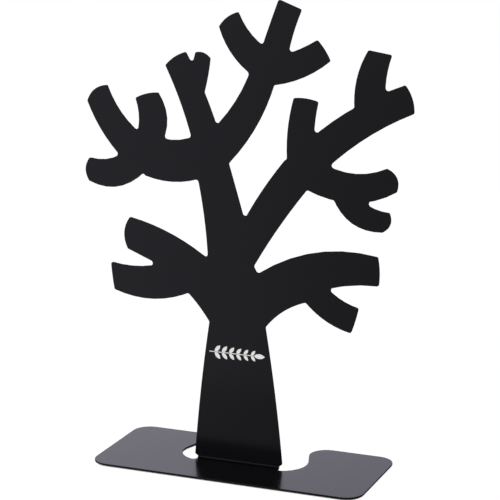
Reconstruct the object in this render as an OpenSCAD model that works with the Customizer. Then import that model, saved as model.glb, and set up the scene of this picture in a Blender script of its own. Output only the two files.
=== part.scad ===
// Stand in the shape of a bare tree, for showing small photos on its boughs.
// Tree and base are one laser-cut sheet of steel with a single fold along the foot of the
// trunk. Rubber pads under the base keep it from sliding on the table.
// X runs along the width, Y towards the back and Z up. The origin is on the table, below
// the middle of the crown's width and the middle of the base's depth.

/* [Sheet] */
// Thickness of the steel sheet
sheet_t = 1.2; // [0.8:0.1:2]
// Inner radius of the fold between the base and the trunk
bend_r = 1.2; // [0.6:0.1:3]
// Radius of the corners at the ends of the twigs
tip_r = 1.2; // [0.4:0.1:1.6]
// Radius in the crotches between boughs
crotch_r = 1.6; // [1:0.1:2.4]

/* [Base] */
// Width of the base from side to side
base_w = 190; // [170:1:240]
// Depth of the base from front to back
base_d = 82; // [76:1:110]
// Radius of the base's outer corners, and of the corners at the mouth of its cut-out
base_corner_r = 12; // [4:0.5:15]
// Distance from the base's front edge to the front face of the trunk
setback = 35.4; // [28:0.2:42]
// How far the base's middle lies to the right of the tree's middle line
base_shift = 1.6; // [-10:0.2:10]

/* [Cut-out behind the trunk] */
// Distance from the foot of the trunk to each side of the cut-out, at its front
cut_gap = 20; // [16:0.5:24]
// How far the cut-out and the notches beside the fold reach in front of the fold
cut_lead = 4.2; // [3:0.1:5]
// Width of the cut-out's mouth at the back of the base
mouth_w = 68.4; // [60:0.2:80]
// Radius of the cut-out's front corners
cut_corner_r = 18; // [8:0.5:20]
// Radius between the cut-out's front edge and the strip that is folded
strip_r = 2.6; // [1:0.1:3]

/* [Trunk] */
// Width of the trunk at its foot
foot_w = 62.6; // [54:0.2:68]
// How far the middle of the foot lies to the right of the tree's middle line
foot_shift = 0.2; // [-3:0.1:3]
// Width of the trunk at its waist, below the lowest boughs
waist_w = 39.6; // [34:0.2:46]
// How far the middle of the waist lies to the left of the tree's middle line
waist_shift = 0.4; // [-3:0.1:3]
// Height of the waist above the underside of the base
waist_h = 96.8; // [85:0.2:105]
// How far the trunk's sides bulge half-way between waist and foot
trunk_bulge = 0.9; // [0:0.1:2]
// Depth of the notch at each end of the fold
notch_d = 2.1; // [1:0.1:4]
// Height of the notches above the bend
notch_rise = 0.8; // [0.4:0.1:3]
// Radius at the top of the notches, where the foot meets the strip that is folded
notch_r = 1.8; // [0.8:0.1:2]

/* [Crown] */
// Height of the tree above the underside of the base
tree_h = 310.4; // [280:0.2:340]
// Width of the crown from its leftmost to its rightmost twig
crown_w = 226.8; // [200:0.2:250]
// How far the tree's middle line lies to the left of the crown's middle
trunk_shift = 4.1; // [-5:0.1:10]
// Width of a plain twig
twig_w = 16; // [14:0.5:18]

/* [Pads] */
// Diameter of each rubber pad
pad_d = 12; // [8:0.5:16]
// Thickness of the pads
pad_t = 1; // [0.8:0.1:3]
// Width of the chamfer round the pads' lower rim
pad_chamfer = 0.3; // [0.1:0.1:0.5]
// Distance of each pad's middle from the base's two nearest edges
pad_inset = 16; // [12:0.5:20]

/* [Hidden] */

// Segments of a full circle at the base's corners, and at the small corners of the tree
$fn = 72;
small_fn = 24;
// Segments along a bowed edge
bow_steps = 8;

// Size of the crown and height of the waist for which the boughs below are laid out
layout_w = 226.8;
layout_h = 310.4;
layout_waist_h = 96.8;

// The middle of the trunk's waist, the middle of the base and the trunk's front face
trunk_x = -trunk_shift;
base_x = trunk_x + base_shift;
face_y = setback - base_d / 2;

// Heights over the table
base_z = pad_t;
bend_top = sheet_t + bend_r;

// The strip that is folded, between the two notches. It is drawn longer than it is, both
// from the base and from the tree, for its rounded corners to run into the fold.
fold_w = foot_w - 2 * notch_d;
strip_spare = 12;

// Start of the bend and front edge of the cut-out, from the front of the base, and the
// cut-out's width there
bend_start = setback - bend_r;
cut_front = bend_start - cut_lead;
cut_front_w = foot_w + 2 * cut_gap;

// Scale of the boughs' own shapes
layout_scale = crown_w / layout_w;

// A point of the layout, stretched to the size of the crown
function grown(p) = [
    p.x * layout_scale,
    waist_h + (p.y - layout_waist_h) * (tree_h - waist_h) / (layout_h - layout_waist_h)
];

// Height of a flat arch over its ends, from 0 at either end to 1 in its middle
function arch(t) = 4 * t * (1 - t);

// Points of an edge from a to b that bows to its left. It may start before a and end past b,
// in the same curve.
function bowed(a, b, bow, before = 0, past = 0) =
    let (
        length = norm(b - a),
        left = [a.y - b.y, b.x - a.x] / length,
        start = -before / length,
        end = 1 + past / length
    )
    [for (i = [0:bow_steps])
        let (t = start + (end - start) * i / bow_steps)
        a + (b - a) * t + left * bow * arch(t)];

// One bough or twig of the flat tree, from the middle of its root to the middle of its end.
// bow is how far it bows to its left. root and tip are how much wider than a plain twig it
// is at its ends, and swell is its extra width half-way. cap is how far its end bulges, and
// lead is how far the left corner of its end reaches ahead of the middle. reach is how far
// it runs on behind its root, into the bough that it grows from.
module limb(from, to, bow = 0, root = 0, tip = 0, swell = 0, cap = 0, lead = 0, reach = 9) {
    a = grown(from);
    b = grown(to);
    along = (b - a) / norm(b - a);
    left = [-along.y, along.x];
    root_half = left * (twig_w + root * layout_scale) / 2;
    tip_half = left * (twig_w + tip * layout_scale) / 2 + along * lead * layout_scale;
    left_bow = (swell / 2 + bow) * layout_scale;
    right_bow = (swell / 2 - bow) * layout_scale;
    behind = reach * layout_scale;
    polygon(concat(
        bowed(a + root_half, b + tip_half, left_bow, before = behind),
        bowed(b + tip_half, b - tip_half, cap * layout_scale),
        bowed(b - tip_half, a - root_half, right_bow, past = behind)
    ));
}

// Trunk from the notches beside the fold up to its shoulders, where the boughs begin
module trunk_outline() {
    shoulder_left = grown([-36, 115.6]);
    shoulder_right = grown([46, 116]);
    waist_left = [-waist_shift - waist_w / 2, waist_h];
    waist_right = [-waist_shift + waist_w / 2, waist_h];
    notch_top = bend_top + notch_rise;
    polygon(concat(
        bowed([foot_shift - foot_w / 2, notch_top], waist_left, trunk_bulge),
        bowed(waist_left, shoulder_left, -0.7 * layout_scale),
        [grown([-20, 140]), grown([2, 144]), grown([11.4, 136.6]), grown([13.6, 132.6])],
        bowed(shoulder_right, waist_right, -2.4 * layout_scale),
        bowed(waist_right, [foot_shift + foot_w / 2, notch_top], trunk_bulge)
    ));
}

module lower_left_bough() {
    limb(
        [-29, 132.2], [-78.2, 152],
        bow = -1.4, root = 4.6, tip = 4.7, swell = 2.7, cap = 3.3, lead = -3.2
    );
    limb([-36, 128.2], [-90.5, 121.6], bow = 5.5, root = 10.3, tip = 2.9, cap = 0.3, reach = 3);
}

module lower_right_bough() {
    limb(
        [28.6, 125.2], [96.1, 141.4],
        bow = 6, root = 13, tip = 2.6, swell = 0.4, cap = 0.8, lead = 1.8, reach = 24
    );
    limb([53.7, 122.9], [80.8, 107.6], bow = -2.4, root = 2.8, tip = 1.2, cap = 0.4, lead = -2);
}

module left_bough() {
    limb([-24, 208.5], [-66, 207], bow = 5, root = 14, tip = 14.8, swell = -2.7);
    limb(
        [-73.4, 200.6], [-106.5, 193],
        bow = 4.9, root = 6, tip = -0.8, swell = 0.7, cap = 2.8, lead = 2, reach = 12
    );
    limb([-72.6, 208.9], [-99.7, 244.6], bow = 3.2, root = 6.9, tip = 2.4, swell = -1.4, cap = 3);
    limb(
        [-64.2, 212.2], [-63.8, 245],
        bow = -4.4, root = 3, tip = 0.2, swell = 2.3, cap = 1.1, lead = -2.2
    );
}

module middle_bough() {
    limb([-23.2, 222.9], [-43.1, 270], bow = -1.2, root = 3.5, tip = 0.8, cap = 1.3, lead = -1.5);
    limb(
        [-30.6, 246], [-23.9, 273],
        bow = -0.4, root = -3.4, tip = -5.2, swell = 0.5, cap = 1.6, lead = 0.5, reach = 2
    );
}

module top_bough() {
    limb([-15.6, 211.6], [18.1, 263.8], bow = -4.1, root = 8.6, tip = 2.2, swell = -0.9);
    limb([17.7, 269.4], [-6, 296.8], bow = 3.4, root = 5.6, tip = 0.3, swell = -0.4, cap = 1.6, lead = 0.6);
    limb([23.8, 271.2], [35.7, 307.7], bow = 0.7, root = 3.1, tip = 0.4, swell = -1.1, lead = 0.4);
    limb(
        [17, 263.9], [58.2, 279.9],
        bow = -2.9, root = 1.5, tip = -0.8, swell = 1.3, cap = 0.7, lead = -1.8
    );
}

module right_bough() {
    limb([3.6, 143.7], [42.1, 202.1], bow = 1.8, root = 3.8, tip = 7.4, swell = 0.8, reach = 0);
    limb([43.1, 212], [46.6, 248.2], bow = 1.4, root = 2.5, tip = 0.5, cap = 0.9);
    limb(
        [56, 215.2], [114.6, 252.4],
        bow = 3.1, root = 5.3, tip = 2.1, swell = 0.4, cap = 1.7, lead = 2.1, reach = 14
    );
    limb([89.5, 243.5], [95.1, 280.4], bow = 2.8, root = 5.6, tip = -0.5, swell = 0.3, reach = 2);
    limb(
        [62, 196.5], [104, 200.8],
        bow = -4.4, root = 5.6, tip = -0.8, cap = 3.7, lead = -2.6, reach = 15
    );
    limb(
        [70.5, 193.9], [100.7, 173.5],
        bow = -6.4, root = 2, tip = -2.9, swell = 0.4, cap = 3, lead = -1.8, reach = 1
    );
}

module leader() {
    limb([-4.6, 139.2], [-18.2, 203], bow = -0.9, root = 17.2, tip = 7.4, swell = -1.4, reach = 0);
}

// The flat tree and the strip below it, with its crotches, notches and twig ends rounded
module tree_blank() {
    offset(r = tip_r, $fn = small_fn) offset(delta = -tip_r)
    offset(r = -notch_r, $fn = small_fn) offset(delta = notch_r) {
        offset(r = -crotch_r, $fn = small_fn) offset(delta = crotch_r) {
            trunk_outline();
            leader();
            lower_left_bough();
            lower_right_bough();
            left_bough();
            middle_bough();
            top_bough();
            right_bough();
        }
        translate([foot_shift - fold_w / 2, bend_top - strip_spare])
            square([fold_w, notch_rise + strip_spare + 1]);
    }
}

// Opening in the base behind the trunk, from the front of the base
module cut_out_outline() {
    side_slope = (mouth_w - cut_front_w) / 2 / (base_d - cut_front);
    back = base_d + 2 * cut_corner_r;
    back_half = mouth_w / 2 + side_slope * (back - base_d);
    offset(r = cut_corner_r) offset(delta = -cut_corner_r)
        polygon([
            [-cut_front_w / 2, cut_front],
            [cut_front_w / 2, cut_front],
            [back_half, back],
            [-back_half, back]
        ]);
}

// The flat base and the strip behind it, from the front of the base and the trunk's middle
module base_blank() {
    offset(r = -strip_r, $fn = small_fn) offset(delta = strip_r) {
        offset(r = base_corner_r) offset(delta = -base_corner_r)
        difference() {
            translate([base_shift - base_w / 2, 0]) square([base_w, base_d]);
            cut_out_outline();
        }
        translate([foot_shift - fold_w / 2, cut_front - 1])
            square([fold_w, cut_lead + 1 + strip_spare]);
    }
}

// Part of the base's blank that gets folded
module fold_area() {
    translate([foot_shift - foot_w / 2, bend_start]) square([foot_w, strip_spare + 1]);
}

module flat_base() {
    translate([0, -base_d / 2, 0])
        linear_extrude(sheet_t)
        difference() {
            base_blank();
            fold_area();
        }
}

// The tree's outline is drawn flat and stood up, with its front on the trunk's front face
module stood_up(thickness) {
    translate([0, face_y + sheet_t, 0]) rotate([90, 0, 0]) linear_extrude(thickness) children();
}

module flat_tree() {
    stood_up(sheet_t)
        intersection() {
            tree_blank();
            translate([-crown_w, bend_top]) square([2 * crown_w, tree_h]);
        }
}

// Quarter ring of sheet that joins the base to the trunk, cut at its ends by the notches as
// they run into it from the base and from the tree
module fold() {
    intersection() {
        translate([foot_shift - foot_w / 2, face_y - bend_r, bend_top])
            rotate([0, 90, 0])
            rotate_extrude(angle = 90)
            translate([bend_r, 0])
            square([sheet_t, foot_w]);
        translate([0, -base_d / 2, 0])
            linear_extrude(bend_top)
            intersection() {
                base_blank();
                fold_area();
            }
        stood_up(sheet_t + bend_r)
            intersection() {
                tree_blank();
                translate([foot_shift - foot_w / 2, 0]) square([foot_w, bend_top]);
            }
    }
}

module folded_tree_sheet() {
    color("#1f1f22")
    translate([trunk_x, 0, base_z]) {
        flat_base();
        fold();
        flat_tree();
    }
}

// Round pad under the base; side is -1 for left and 1 for right, end is -1 for front and 1 for rear
module pad(side, end) {
    translate([
        base_x + side * (base_w / 2 - pad_inset),
        end * (base_d / 2 - pad_inset),
        0
    ])
        rotate_extrude()
        polygon([
            [0, 0],
            [pad_d / 2 - pad_chamfer, 0],
            [pad_d / 2, pad_chamfer],
            [pad_d / 2, pad_t],
            [0, pad_t]
        ]);
}

module pad_front_left() {
    color("#151515") pad(-1, -1);
}

module pad_front_right() {
    color("#151515") pad(1, -1);
}

module pad_rear_left() {
    color("#151515") pad(-1, 1);
}

module pad_rear_right() {
    color("#151515") pad(1, 1);
}

folded_tree_sheet();
pad_front_left();
pad_front_right();
pad_rear_left();
pad_rear_right();
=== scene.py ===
import math

import bpy
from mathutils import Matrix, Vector


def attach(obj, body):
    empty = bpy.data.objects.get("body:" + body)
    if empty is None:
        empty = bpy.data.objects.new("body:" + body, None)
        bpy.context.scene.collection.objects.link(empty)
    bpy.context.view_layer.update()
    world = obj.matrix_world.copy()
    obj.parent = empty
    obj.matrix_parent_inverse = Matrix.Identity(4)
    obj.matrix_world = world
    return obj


# A tree cut and folded from one steel sheet, standing on a white studio sweep.
# Metres, in the CAD model's own frame: the front faces -Y and the table is at z = 0.

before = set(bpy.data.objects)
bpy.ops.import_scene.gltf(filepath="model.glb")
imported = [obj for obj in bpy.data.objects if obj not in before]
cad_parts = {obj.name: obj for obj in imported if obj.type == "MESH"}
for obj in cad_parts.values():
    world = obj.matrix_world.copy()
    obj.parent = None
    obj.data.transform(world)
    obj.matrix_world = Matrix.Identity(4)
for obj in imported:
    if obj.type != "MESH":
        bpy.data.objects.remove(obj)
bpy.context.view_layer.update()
mm = 0.001
foldTop = 3.5 * mm            # the sheet stands upright from here up
print("stage: frame loaded")


# Small helpers

def linear(hexColour):
    # sRGB hex to linear RGBA
    channels = [int(hexColour[i:i + 2], 16) / 255 for i in (1, 3, 5)]
    return [c / 12.92 if c <= 0.04045 else ((c + 0.055) / 1.055) ** 2.4 for c in channels] + [1]


def addNode(tree, kind, settings=None, links=None):
    # links go from an output socket of another node to a named or numbered input here
    node = tree.nodes.new(kind)
    for key, value in (settings or {}).items():
        if isinstance(key, str) and hasattr(node, key):
            setattr(node, key, value)
        else:
            node.inputs[key].default_value = value
    for key, output in (links or {}).items():
        tree.links.new(output, node.inputs[key])
    return node


def newMaterial(name):
    material = bpy.data.materials.new(name)
    material.use_nodes = True
    material.node_tree.nodes.clear()
    return material, material.node_tree


def paint(piece, material):
    piece.data.materials.clear()
    piece.data.materials.append(material)


def deselectAll():
    if bpy.context.object and bpy.context.object.mode != "OBJECT":
        bpy.ops.object.mode_set(mode="OBJECT")
    bpy.ops.object.select_all(action="DESELECT")


# Materials

# Powder coat, sprayed as dry powder and baked: a satin black film with a slight orange peel
# and a fine grain, so reflections of large pale things are clear but soft at their edges. The
# powder draws thin on the laser-cut edges, which stay rough and mirror almost nothing.
powderCoat = {
    "colour": "#050506",
    "paleColour": "#070708",
    "roughness": 0.2,
    "roughnessSpread": 0.05,
    "edgeRoughness": 0.9,
    "edgeTurn": 0.5,          # how far a surface has to face away from the sheet's faces to be an edge
    "ior": 1.5,
    "specularLevel": 0.3,
    "peelSize": 2.4,          # mm between the swells of the orange peel
    "peelHeight": 0.006,      # mm
    "grainSize": 0.5,         # mm, coarser than real powder grains so that it shows
    "grainHeight": 0.0015,    # mm
    "cloudSize": 45,          # mm between places where the film is a little thicker
}


def findCutEdges(tree, place, s):
    # 1 on an edge and 0 on a face: above the fold all that doesn't face along Y is an edge, and below
    # it only what faces along X, because the bend's own faces turn from Z to Y
    facing = addNode(tree, "ShaderNodeVectorMath", {"operation": "ABSOLUTE"}, {0: place.outputs["Normal"]})
    sides = addNode(tree, "ShaderNodeSeparateXYZ", None, {0: facing.outputs[0]})
    spot = addNode(tree, "ShaderNodeSeparateXYZ", None, {0: place.outputs["Object"]})
    upright = addNode(tree, "ShaderNodeMath", {"operation": "GREATER_THAN", 1: foldTop},
                      {0: spot.outputs["Z"]})
    turned = addNode(tree, "ShaderNodeMath", {"operation": "SUBTRACT", 0: 1.0}, {1: sides.outputs["Y"]})
    sideways = addNode(tree, "ShaderNodeMix", {"data_type": "FLOAT"},
                       {"Factor": upright.outputs[0], 2: sides.outputs["X"], 3: turned.outputs[0]})
    edge = addNode(tree, "ShaderNodeMath", {"operation": "GREATER_THAN", 1: s["edgeTurn"]},
                   {0: sideways.outputs[0]})
    return edge.outputs[0]


def makePowderCoat(s):
    material, tree = newMaterial("satinBlackPowderCoat")
    place = addNode(tree, "ShaderNodeTexCoord")
    peel = addNode(tree, "ShaderNodeTexNoise",
                   {"Scale": 1 / (s["peelSize"] * mm), "Detail": 1.0, "Roughness": 0.4},
                   {"Vector": place.outputs["Object"]})
    grain = addNode(tree, "ShaderNodeTexNoise",
                    {"Scale": 1 / (s["grainSize"] * mm), "Detail": 2.0, "Roughness": 0.6},
                    {"Vector": place.outputs["Object"]})
    clouds = addNode(tree, "ShaderNodeTexNoise",
                     {"Scale": 1 / (s["cloudSize"] * mm), "Detail": 2.0},
                     {"Vector": place.outputs["Object"]})
    tint = addNode(tree, "ShaderNodeMix", {"data_type": "RGBA"}, {"Factor": clouds.outputs["Fac"]})
    tint.inputs["A"].default_value = linear(s["colour"])
    tint.inputs["B"].default_value = linear(s["paleColour"])
    satin = addNode(tree, "ShaderNodeMapRange",
                    {"To Min": s["roughness"] - s["roughnessSpread"],
                     "To Max": s["roughness"] + s["roughnessSpread"]},
                    {"Value": grain.outputs["Fac"]})
    gloss = addNode(tree, "ShaderNodeMix", {"data_type": "FLOAT", 3: s["edgeRoughness"]},
                    {"Factor": findCutEdges(tree, place, s), 2: satin.outputs["Result"]})
    swell = addNode(tree, "ShaderNodeBump",
                    {"Strength": 1.0, "Distance": s["peelHeight"] * mm},
                    {"Height": peel.outputs["Fac"]})
    speckle = addNode(tree, "ShaderNodeBump",
                      {"Strength": 1.0, "Distance": s["grainHeight"] * mm},
                      {"Height": grain.outputs["Fac"], "Normal": swell.outputs["Normal"]})
    coat = addNode(tree, "ShaderNodeBsdfPrincipled",
                   {"Metallic": 0.0, "IOR": s["ior"], "Specular IOR Level": s["specularLevel"]},
                   {"Base Color": tint.outputs["Result"], "Roughness": gloss.outputs[0],
                    "Normal": speckle.outputs["Normal"]})
    addNode(tree, "ShaderNodeOutputMaterial", None, {"Surface": coat.outputs["BSDF"]})
    return material


# Nitrile rubber, die-cut from sheet: dull, dark grey and faintly mottled, with almost no gloss.
rubber = {
    "colour": "#161616",
    "paleColour": "#232322",
    "roughness": 0.85,
    "ior": 1.5,
    "specularLevel": 0.3,
    "mottleSize": 1.2,        # mm
    "mottleHeight": 0.03,     # mm
    "mottleStrength": 0.8,
}


def makeRubber(s):
    material, tree = newMaterial("dieCutNitrileRubber")
    place = addNode(tree, "ShaderNodeTexCoord")
    mottle = addNode(tree, "ShaderNodeTexNoise",
                     {"Scale": 1 / (s["mottleSize"] * mm), "Detail": 3.0, "Roughness": 0.7},
                     {"Vector": place.outputs["Object"]})
    tint = addNode(tree, "ShaderNodeMix", {"data_type": "RGBA"}, {"Factor": mottle.outputs["Fac"]})
    tint.inputs["A"].default_value = linear(s["colour"])
    tint.inputs["B"].default_value = linear(s["paleColour"])
    bump = addNode(tree, "ShaderNodeBump",
                   {"Strength": s["mottleStrength"], "Distance": s["mottleHeight"] * mm},
                   {"Height": mottle.outputs["Fac"]})
    skin = addNode(tree, "ShaderNodeBsdfPrincipled",
                   {"Roughness": s["roughness"], "IOR": s["ior"],
                    "Specular IOR Level": s["specularLevel"]},
                   {"Base Color": tint.outputs["Result"], "Normal": bump.outputs["Normal"]})
    addNode(tree, "ShaderNodeOutputMaterial", None, {"Surface": skin.outputs["BSDF"]})
    return material


# Screen-printing ink, cured on the coat: opaque white, matt, thinner where the mesh's threads lay.
ink = {
    "colour": "#f8f8f6",
    "thinColour": "#ebebe9",
    "roughness": 0.5,
    "ior": 1.5,
    "meshStep": 0.6,          # mm between the print mesh's threads, coarser than real so that it shows
}


def makeInk(s):
    material, tree = newMaterial("whiteScreenInk")
    place = addNode(tree, "ShaderNodeTexCoord")
    threads = addNode(tree, "ShaderNodeTexNoise",
                      {"Scale": 1 / (s["meshStep"] * mm), "Detail": 1.0},
                      {"Vector": place.outputs["Object"]})
    tint = addNode(tree, "ShaderNodeMix", {"data_type": "RGBA"}, {"Factor": threads.outputs["Fac"]})
    tint.inputs["A"].default_value = linear(s["colour"])
    tint.inputs["B"].default_value = linear(s["thinColour"])
    film = addNode(tree, "ShaderNodeBsdfPrincipled",
                   {"Roughness": s["roughness"], "IOR": s["ior"]},
                   {"Base Color": tint.outputs["Result"]})
    addNode(tree, "ShaderNodeOutputMaterial", None, {"Surface": film.outputs["BSDF"]})
    return material


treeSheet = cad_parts["folded_tree_sheet"]
blackRubber = makeRubber(rubber)
paint(treeSheet, makePowderCoat(powderCoat))
for nodeName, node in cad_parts.items():
    if nodeName.startswith("pad_"):
        paint(node, blackRubber)
print("stage: coat and rubber")


# Printed sprig: a plain stalk with paired leaves and one at its end, in white ink across the trunk

sprig = {
    "middle": (-4.6, 77.6),   # mm, x and z on the trunk
    "length": 39.5,           # mm
    "stalkWidth": 0.9,
    "stalkTaper": 0.6,        # width of the stalk's thin end over that of its thick end
    "leafLength": 6.0,
    "leafWidth": 2.6,
    "leafTilt": 50,           # degrees from the stalk
    "pairs": 6,
    "firstPair": 0.75,        # place of the first pair, in steps from the stalk's thick end
    "shrink": 0.045,          # how much smaller each pair is than the one before it
    "stalkEnd": 0.5,          # steps from the last pair to the stalk's thin end
    "endLeaf": 1.4,           # and from there to the tip of the end leaf
    "overlap": 0.4,           # mm of the end leaf that lie on the stalk
    "film": 0.05,             # mm of ink standing on the coat
    "discSides": 96,
}


def makeDisc(name, radius, middle, s):
    deselectAll()
    bpy.ops.mesh.primitive_cylinder_add(vertices=s["discSides"], radius=radius * mm, depth=s["film"] * mm,
                                        location=(middle[0] * mm, middle[1] * mm, s["film"] / 2 * mm))
    piece = bpy.context.object
    piece.name = name
    bpy.ops.object.transform_apply(location=True, rotation=True, scale=True)
    return piece


def makeLeaf(s):
    # the lens where two discs overlap, lying along X with its root at the origin
    radius = (s["leafLength"] ** 2 + s["leafWidth"] ** 2) / (4 * s["leafWidth"])
    offset = radius - s["leafWidth"] / 2
    leaf = makeDisc("leaf", radius, (s["leafLength"] / 2, offset), s)
    other = makeDisc("leafCutter", radius, (s["leafLength"] / 2, -offset), s)
    overlap = leaf.modifiers.new("overlap", "BOOLEAN")
    overlap.operation = "INTERSECT"
    overlap.object = other
    bpy.context.view_layer.objects.active = leaf
    bpy.ops.object.modifier_apply(modifier=overlap.name)
    bpy.data.objects.remove(other)
    return leaf


def makeStalk(s, length):
    # a thin strip along X that narrows towards its far end
    deselectAll()
    bpy.ops.mesh.primitive_cube_add(size=1)
    stalk = bpy.context.object
    stalk.scale = (length * mm, s["stalkWidth"] * mm, s["film"] * mm)
    stalk.location = (length / 2 * mm, 0, s["film"] / 2 * mm)
    bpy.ops.object.transform_apply(location=True, rotation=True, scale=True)
    for vertex in stalk.data.vertices:
        vertex.select = vertex.co.x > length / 2 * mm
    for face in stalk.data.polygons:
        face.select = all(stalk.data.vertices[i].select for i in face.vertices)
    bpy.ops.object.mode_set(mode="EDIT")
    bpy.ops.transform.resize(value=(1, s["stalkTaper"], 1), center_override=(length * mm, 0, 0))
    bpy.ops.object.mode_set(mode="OBJECT")
    return stalk


def makeSprig(s, faceY):
    leaf = makeLeaf(s)
    stalkSteps = s["firstPair"] + s["pairs"] - 1 + s["stalkEnd"]
    step = s["length"] / (stalkSteps + s["endLeaf"])
    stalkLength = step * stalkSteps
    parts = [makeStalk(s, stalkLength)]

    def addLeaf(along, turn, size):
        part = leaf.copy()
        part.data = leaf.data.copy()
        bpy.context.scene.collection.objects.link(part)
        part.location = (along * mm, 0, 0)
        part.rotation_euler = (0, 0, math.radians(turn))
        part.scale = (size, size, 1)
        parts.append(part)

    for i in range(s["pairs"]):
        for side in (1, -1):
            addLeaf(step * (i + s["firstPair"]), side * s["leafTilt"], 1 - s["shrink"] * i)
    endStart = stalkLength - s["overlap"]
    addLeaf(endStart, 0, (s["length"] - endStart) / s["leafLength"])
    bpy.data.objects.remove(leaf)

    deselectAll()
    for part in parts:
        part.select_set(True)
    bpy.context.view_layer.objects.active = parts[0]
    bpy.ops.object.transform_apply(location=True, rotation=True, scale=True)
    bpy.ops.object.join()
    decal = bpy.context.object
    decal.name = "printedSprig"
    decal.rotation_euler = (math.radians(90), 0, 0)
    decal.location = ((s["middle"][0] - s["length"] / 2) * mm, faceY, s["middle"][1] * mm)
    bpy.ops.object.transform_apply(location=True, rotation=True, scale=True)
    return decal


trunkFaceY = min(corner.co.y for corner in treeSheet.data.vertices if corner.co.z > foldTop)
printedSprig = makeSprig(sprig, trunkFaceY)
paint(printedSprig, makeInk(ink))
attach(printedSprig, "root")
print("stage: printed sprig")


# Studio floor: it's nearly plain white to the camera, and keeps a faint shade of the stand

studioFloor = {
    "size": 9.0,              # m
    "middle": (0, 1.0, 0),    # m
    "colour": "#e9e9ea",
    "white": 0.9,             # share of plain white that the camera sees in the floor
    "glow": 1.06,             # and its brightness
    "gapReach": 3.0,          # mm, how far up the floor feels for something close above it
    "gapOpen": (0.14, 0.26),  # how open it is where it keeps its real shade, and where it's white
    "mirrorTint": "#f0eeff",  # the floor as the coat mirrors it
    "fanPivot": (0.448, 1.09),      # m, where the tree's face mirrors the camera to
    "fanTurn": (0.174, 0.203),      # turns round it, from the crown's left end to its right end
    "fanLeft": 0.82,          # brightness of the floor that the crown's left end mirrors
    "fanRight": 0.46,         # and of the floor that its right end mirrors
    "footShade": 0.72,        # share of it that is left in the base's own shade
    "shadeReach": (0.14, 0.19),     # m from the stand along Y, where it is full and where it ends
}


def makeFloor(s):
    deselectAll()
    bpy.ops.mesh.primitive_plane_add(size=s["size"], location=s["middle"])
    floor = bpy.context.object
    floor.name = "studioFloor"
    bpy.ops.object.transform_apply(location=True, rotation=True, scale=True)
    material, tree = newMaterial("matteWhiteSweep")
    path = addNode(tree, "ShaderNodeLightPath")
    paper = addNode(tree, "ShaderNodeBsdfDiffuse", {"Color": linear(s["colour"])})
    white = addNode(tree, "ShaderNodeEmission", {"Color": (1, 1, 1, 1), "Strength": s["glow"]})
    place = addNode(tree, "ShaderNodeTexCoord")
    pivot = addNode(tree, "ShaderNodeMapping", {"vector_type": "TEXTURE", "Location": (*s["fanPivot"], 0)},
                    {"Vector": place.outputs["Object"]})
    fan = addNode(tree, "ShaderNodeTexGradient", {"gradient_type": "RADIAL"}, {"Vector": pivot.outputs[0]})
    # painted light: for mirrored rays the floor glows as a painted pool, brightest on the crown's left,
    # with painted shade in a band along Y near the stand
    glow = addNode(tree, "ShaderNodeMapRange",
                   {"interpolation_type": "SMOOTHSTEP", "From Min": s["fanTurn"][0],
                    "From Max": s["fanTurn"][1], "To Min": s["fanLeft"], "To Max": s["fanRight"]},
                   {"Value": fan.outputs["Fac"]})
    spot = addNode(tree, "ShaderNodeSeparateXYZ", None, {0: place.outputs["Object"]})
    away = addNode(tree, "ShaderNodeMath", {"operation": "ABSOLUTE"}, {0: spot.outputs["Y"]})
    shade = addNode(tree, "ShaderNodeMapRange",
                    {"interpolation_type": "SMOOTHSTEP", "From Min": s["shadeReach"][0],
                     "From Max": s["shadeReach"][1], "To Min": s["footShade"], "To Max": 1.0},
                    {"Value": away.outputs[0]})
    shaded = addNode(tree, "ShaderNodeMath", {"operation": "MULTIPLY"},
                     {0: glow.outputs["Result"], 1: shade.outputs["Result"]})
    mirrored = addNode(tree, "ShaderNodeEmission", {"Color": linear(s["mirrorTint"])},
                       {"Strength": shaded.outputs[0]})
    # under the rim of the base the floor keeps its real shade, which draws the rim's dark line
    openness = addNode(tree, "ShaderNodeAmbientOcclusion", {"Distance": s["gapReach"] * mm})
    share = addNode(tree, "ShaderNodeMapRange",
                    {"From Min": s["gapOpen"][0], "From Max": s["gapOpen"][1], "To Max": s["white"]},
                    {"Value": openness.outputs["AO"]})
    seen = addNode(tree, "ShaderNodeMath", {"operation": "MULTIPLY"},
                   {0: path.outputs["Is Camera Ray"], 1: share.outputs["Result"]})
    forCamera = addNode(tree, "ShaderNodeMixShader", None,
                        {0: seen.outputs[0], 1: paper.outputs[0], 2: white.outputs[0]})
    forGloss = addNode(tree, "ShaderNodeMixShader", None,
                       {0: path.outputs["Is Glossy Ray"], 1: forCamera.outputs[0], 2: mirrored.outputs[0]})
    addNode(tree, "ShaderNodeOutputMaterial", None, {"Surface": forGloss.outputs[0]})
    paint(floor, material)


# Backdrop: white to the camera, and for the coat a wall that is brightest on the left and dark overhead

backdrop = {
    "light": 0.5,             # what it adds to the lamps
    "mirrorTint": "#f0eeff",  # the backdrop as the coat mirrors it
    "wallLeft": 1.43,         # brightness of the mirrored backdrop on the left
    "wallRight": 0.52,        # and on the right
    "wallReach": (-0.5, 0.2), # part of the way along X, over which the one turns into the other
    "ceilingGloss": 0.12,     # share of it that is left overhead
    "ceilingRise": (0.42, 0.7),     # sine of the height where the ceiling begins and is full
    "frontGloss": 0.7,        # share of it that is left on the camera's side
    "frontTurn": (-0.2, 0.5), # reach along Y over which that grows to the full backdrop
}


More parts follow.
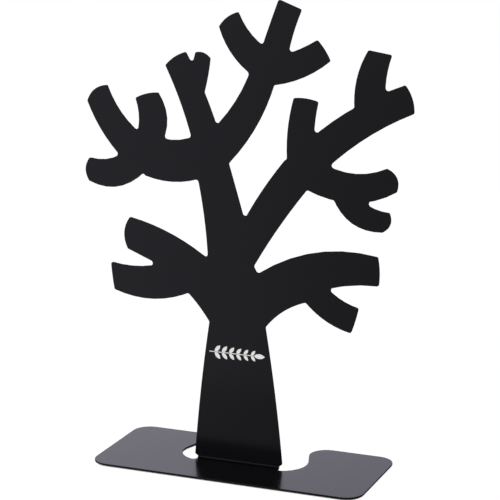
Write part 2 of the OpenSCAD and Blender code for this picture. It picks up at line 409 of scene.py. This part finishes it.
def makeBackdrop(s):
    world = bpy.data.worlds.new("whiteStudio")
    bpy.context.scene.world = world
    world.use_nodes = True
    tree = world.node_tree
    tree.nodes.clear()
    path = addNode(tree, "ShaderNodeLightPath")
    white = (1, 1, 1, 1)
    room = addNode(tree, "ShaderNodeBackground", {"Color": white, "Strength": s["light"]})
    seen = addNode(tree, "ShaderNodeBackground", {"Color": white, "Strength": 1.0})
    way = addNode(tree, "ShaderNodeTexCoord")
    parts = addNode(tree, "ShaderNodeSeparateXYZ", None, {0: way.outputs["Generated"]})
    wall = addNode(tree, "ShaderNodeMapRange",
                   {"From Min": s["wallReach"][0], "From Max": s["wallReach"][1],
                    "To Min": s["wallLeft"], "To Max": s["wallRight"]},
                   {"Value": parts.outputs["X"]})
    ceiling = addNode(tree, "ShaderNodeMapRange",
                      {"interpolation_type": "SMOOTHSTEP", "From Min": s["ceilingRise"][0],
                       "From Max": s["ceilingRise"][1], "To Min": 1.0, "To Max": s["ceilingGloss"]},
                      {"Value": parts.outputs["Z"]})
    front = addNode(tree, "ShaderNodeMapRange",
                    {"interpolation_type": "SMOOTHSTEP", "From Min": s["frontTurn"][0],
                     "From Max": s["frontTurn"][1], "To Min": s["frontGloss"], "To Max": 1.0},
                    {"Value": parts.outputs["Y"]})
    turned = addNode(tree, "ShaderNodeMath", {"operation": "MULTIPLY"},
                     {0: wall.outputs["Result"], 1: front.outputs["Result"]})
    fading = addNode(tree, "ShaderNodeMath", {"operation": "MULTIPLY"},
                     {0: turned.outputs[0], 1: ceiling.outputs["Result"]})
    mirrored = addNode(tree, "ShaderNodeBackground", {"Color": linear(s["mirrorTint"])},
                       {"Strength": fading.outputs[0]})
    forGloss = addNode(tree, "ShaderNodeMixShader", None,
                       {0: path.outputs["Is Glossy Ray"], 1: room.outputs[0], 2: mirrored.outputs[0]})
    forCamera = addNode(tree, "ShaderNodeMixShader", None,
                        {0: path.outputs["Is Camera Ray"], 1: forGloss.outputs[0], 2: seen.outputs[0]})
    addNode(tree, "ShaderNodeOutputWorld", None, {"Surface": forCamera.outputs[0]})


# Soft boxes: places and sizes in metres, power in watts

softBoxes = {
    "keySoftBox": {"place": (-1.3, -1.2, 1.5), "size": 1.2, "power": 19},
    "fillSoftBox": {"place": (1.5, -0.9, 1.2), "size": 1.4, "power": 7},
    "topSoftBox": {"place": (0, 0.5, 1.9), "size": 1.5, "power": 9},
}
lampTarget = Vector((0, 0, 0.15))


def makeSoftBox(name, s):
    light = bpy.data.lights.new(name, "AREA")
    light.shape = "SQUARE"
    light.size = s["size"]
    light.energy = s["power"]
    lamp = bpy.data.objects.new(name, light)
    bpy.context.scene.collection.objects.link(lamp)
    lamp.location = s["place"]
    lamp.rotation_euler = (lampTarget - lamp.location).to_track_quat("-Z", "Y").to_euler()
    lamp.visible_glossy = False    # the coat mirrors only the floor and the backdrop, as in the photo


makeFloor(studioFloor)
makeBackdrop(backdrop)
for lampName, lamp in softBoxes.items():
    makeSoftBox(lampName, lamp)
print("stage: studio")


# Camera: a long lens, to the right of the stand and a little above it, places in metres

view = {
    "standsAt": (0.44797, -1.10252, 0.43124),
    "aimsAt": (0.00468, -0.0056, 0.14897),
    "lens": 135.04,           # mm
    "sensor": 36,             # mm
    "nearest": 0.01,          # m, where its view starts
}
cameraData = bpy.data.cameras.new("longLens")
cameraData.lens = view["lens"]
cameraData.sensor_width = view["sensor"]
cameraData.clip_start = view["nearest"]
camera = bpy.data.objects.new("longLens", cameraData)
bpy.context.scene.collection.objects.link(camera)
camera.location = view["standsAt"]
camera.rotation_euler = (Vector(view["aimsAt"]) - camera.location).to_track_quat("-Z", "Y").to_euler()
bpy.context.scene.camera = camera
bpy.context.scene.view_settings.view_transform = "Standard"
print("stage: camera")
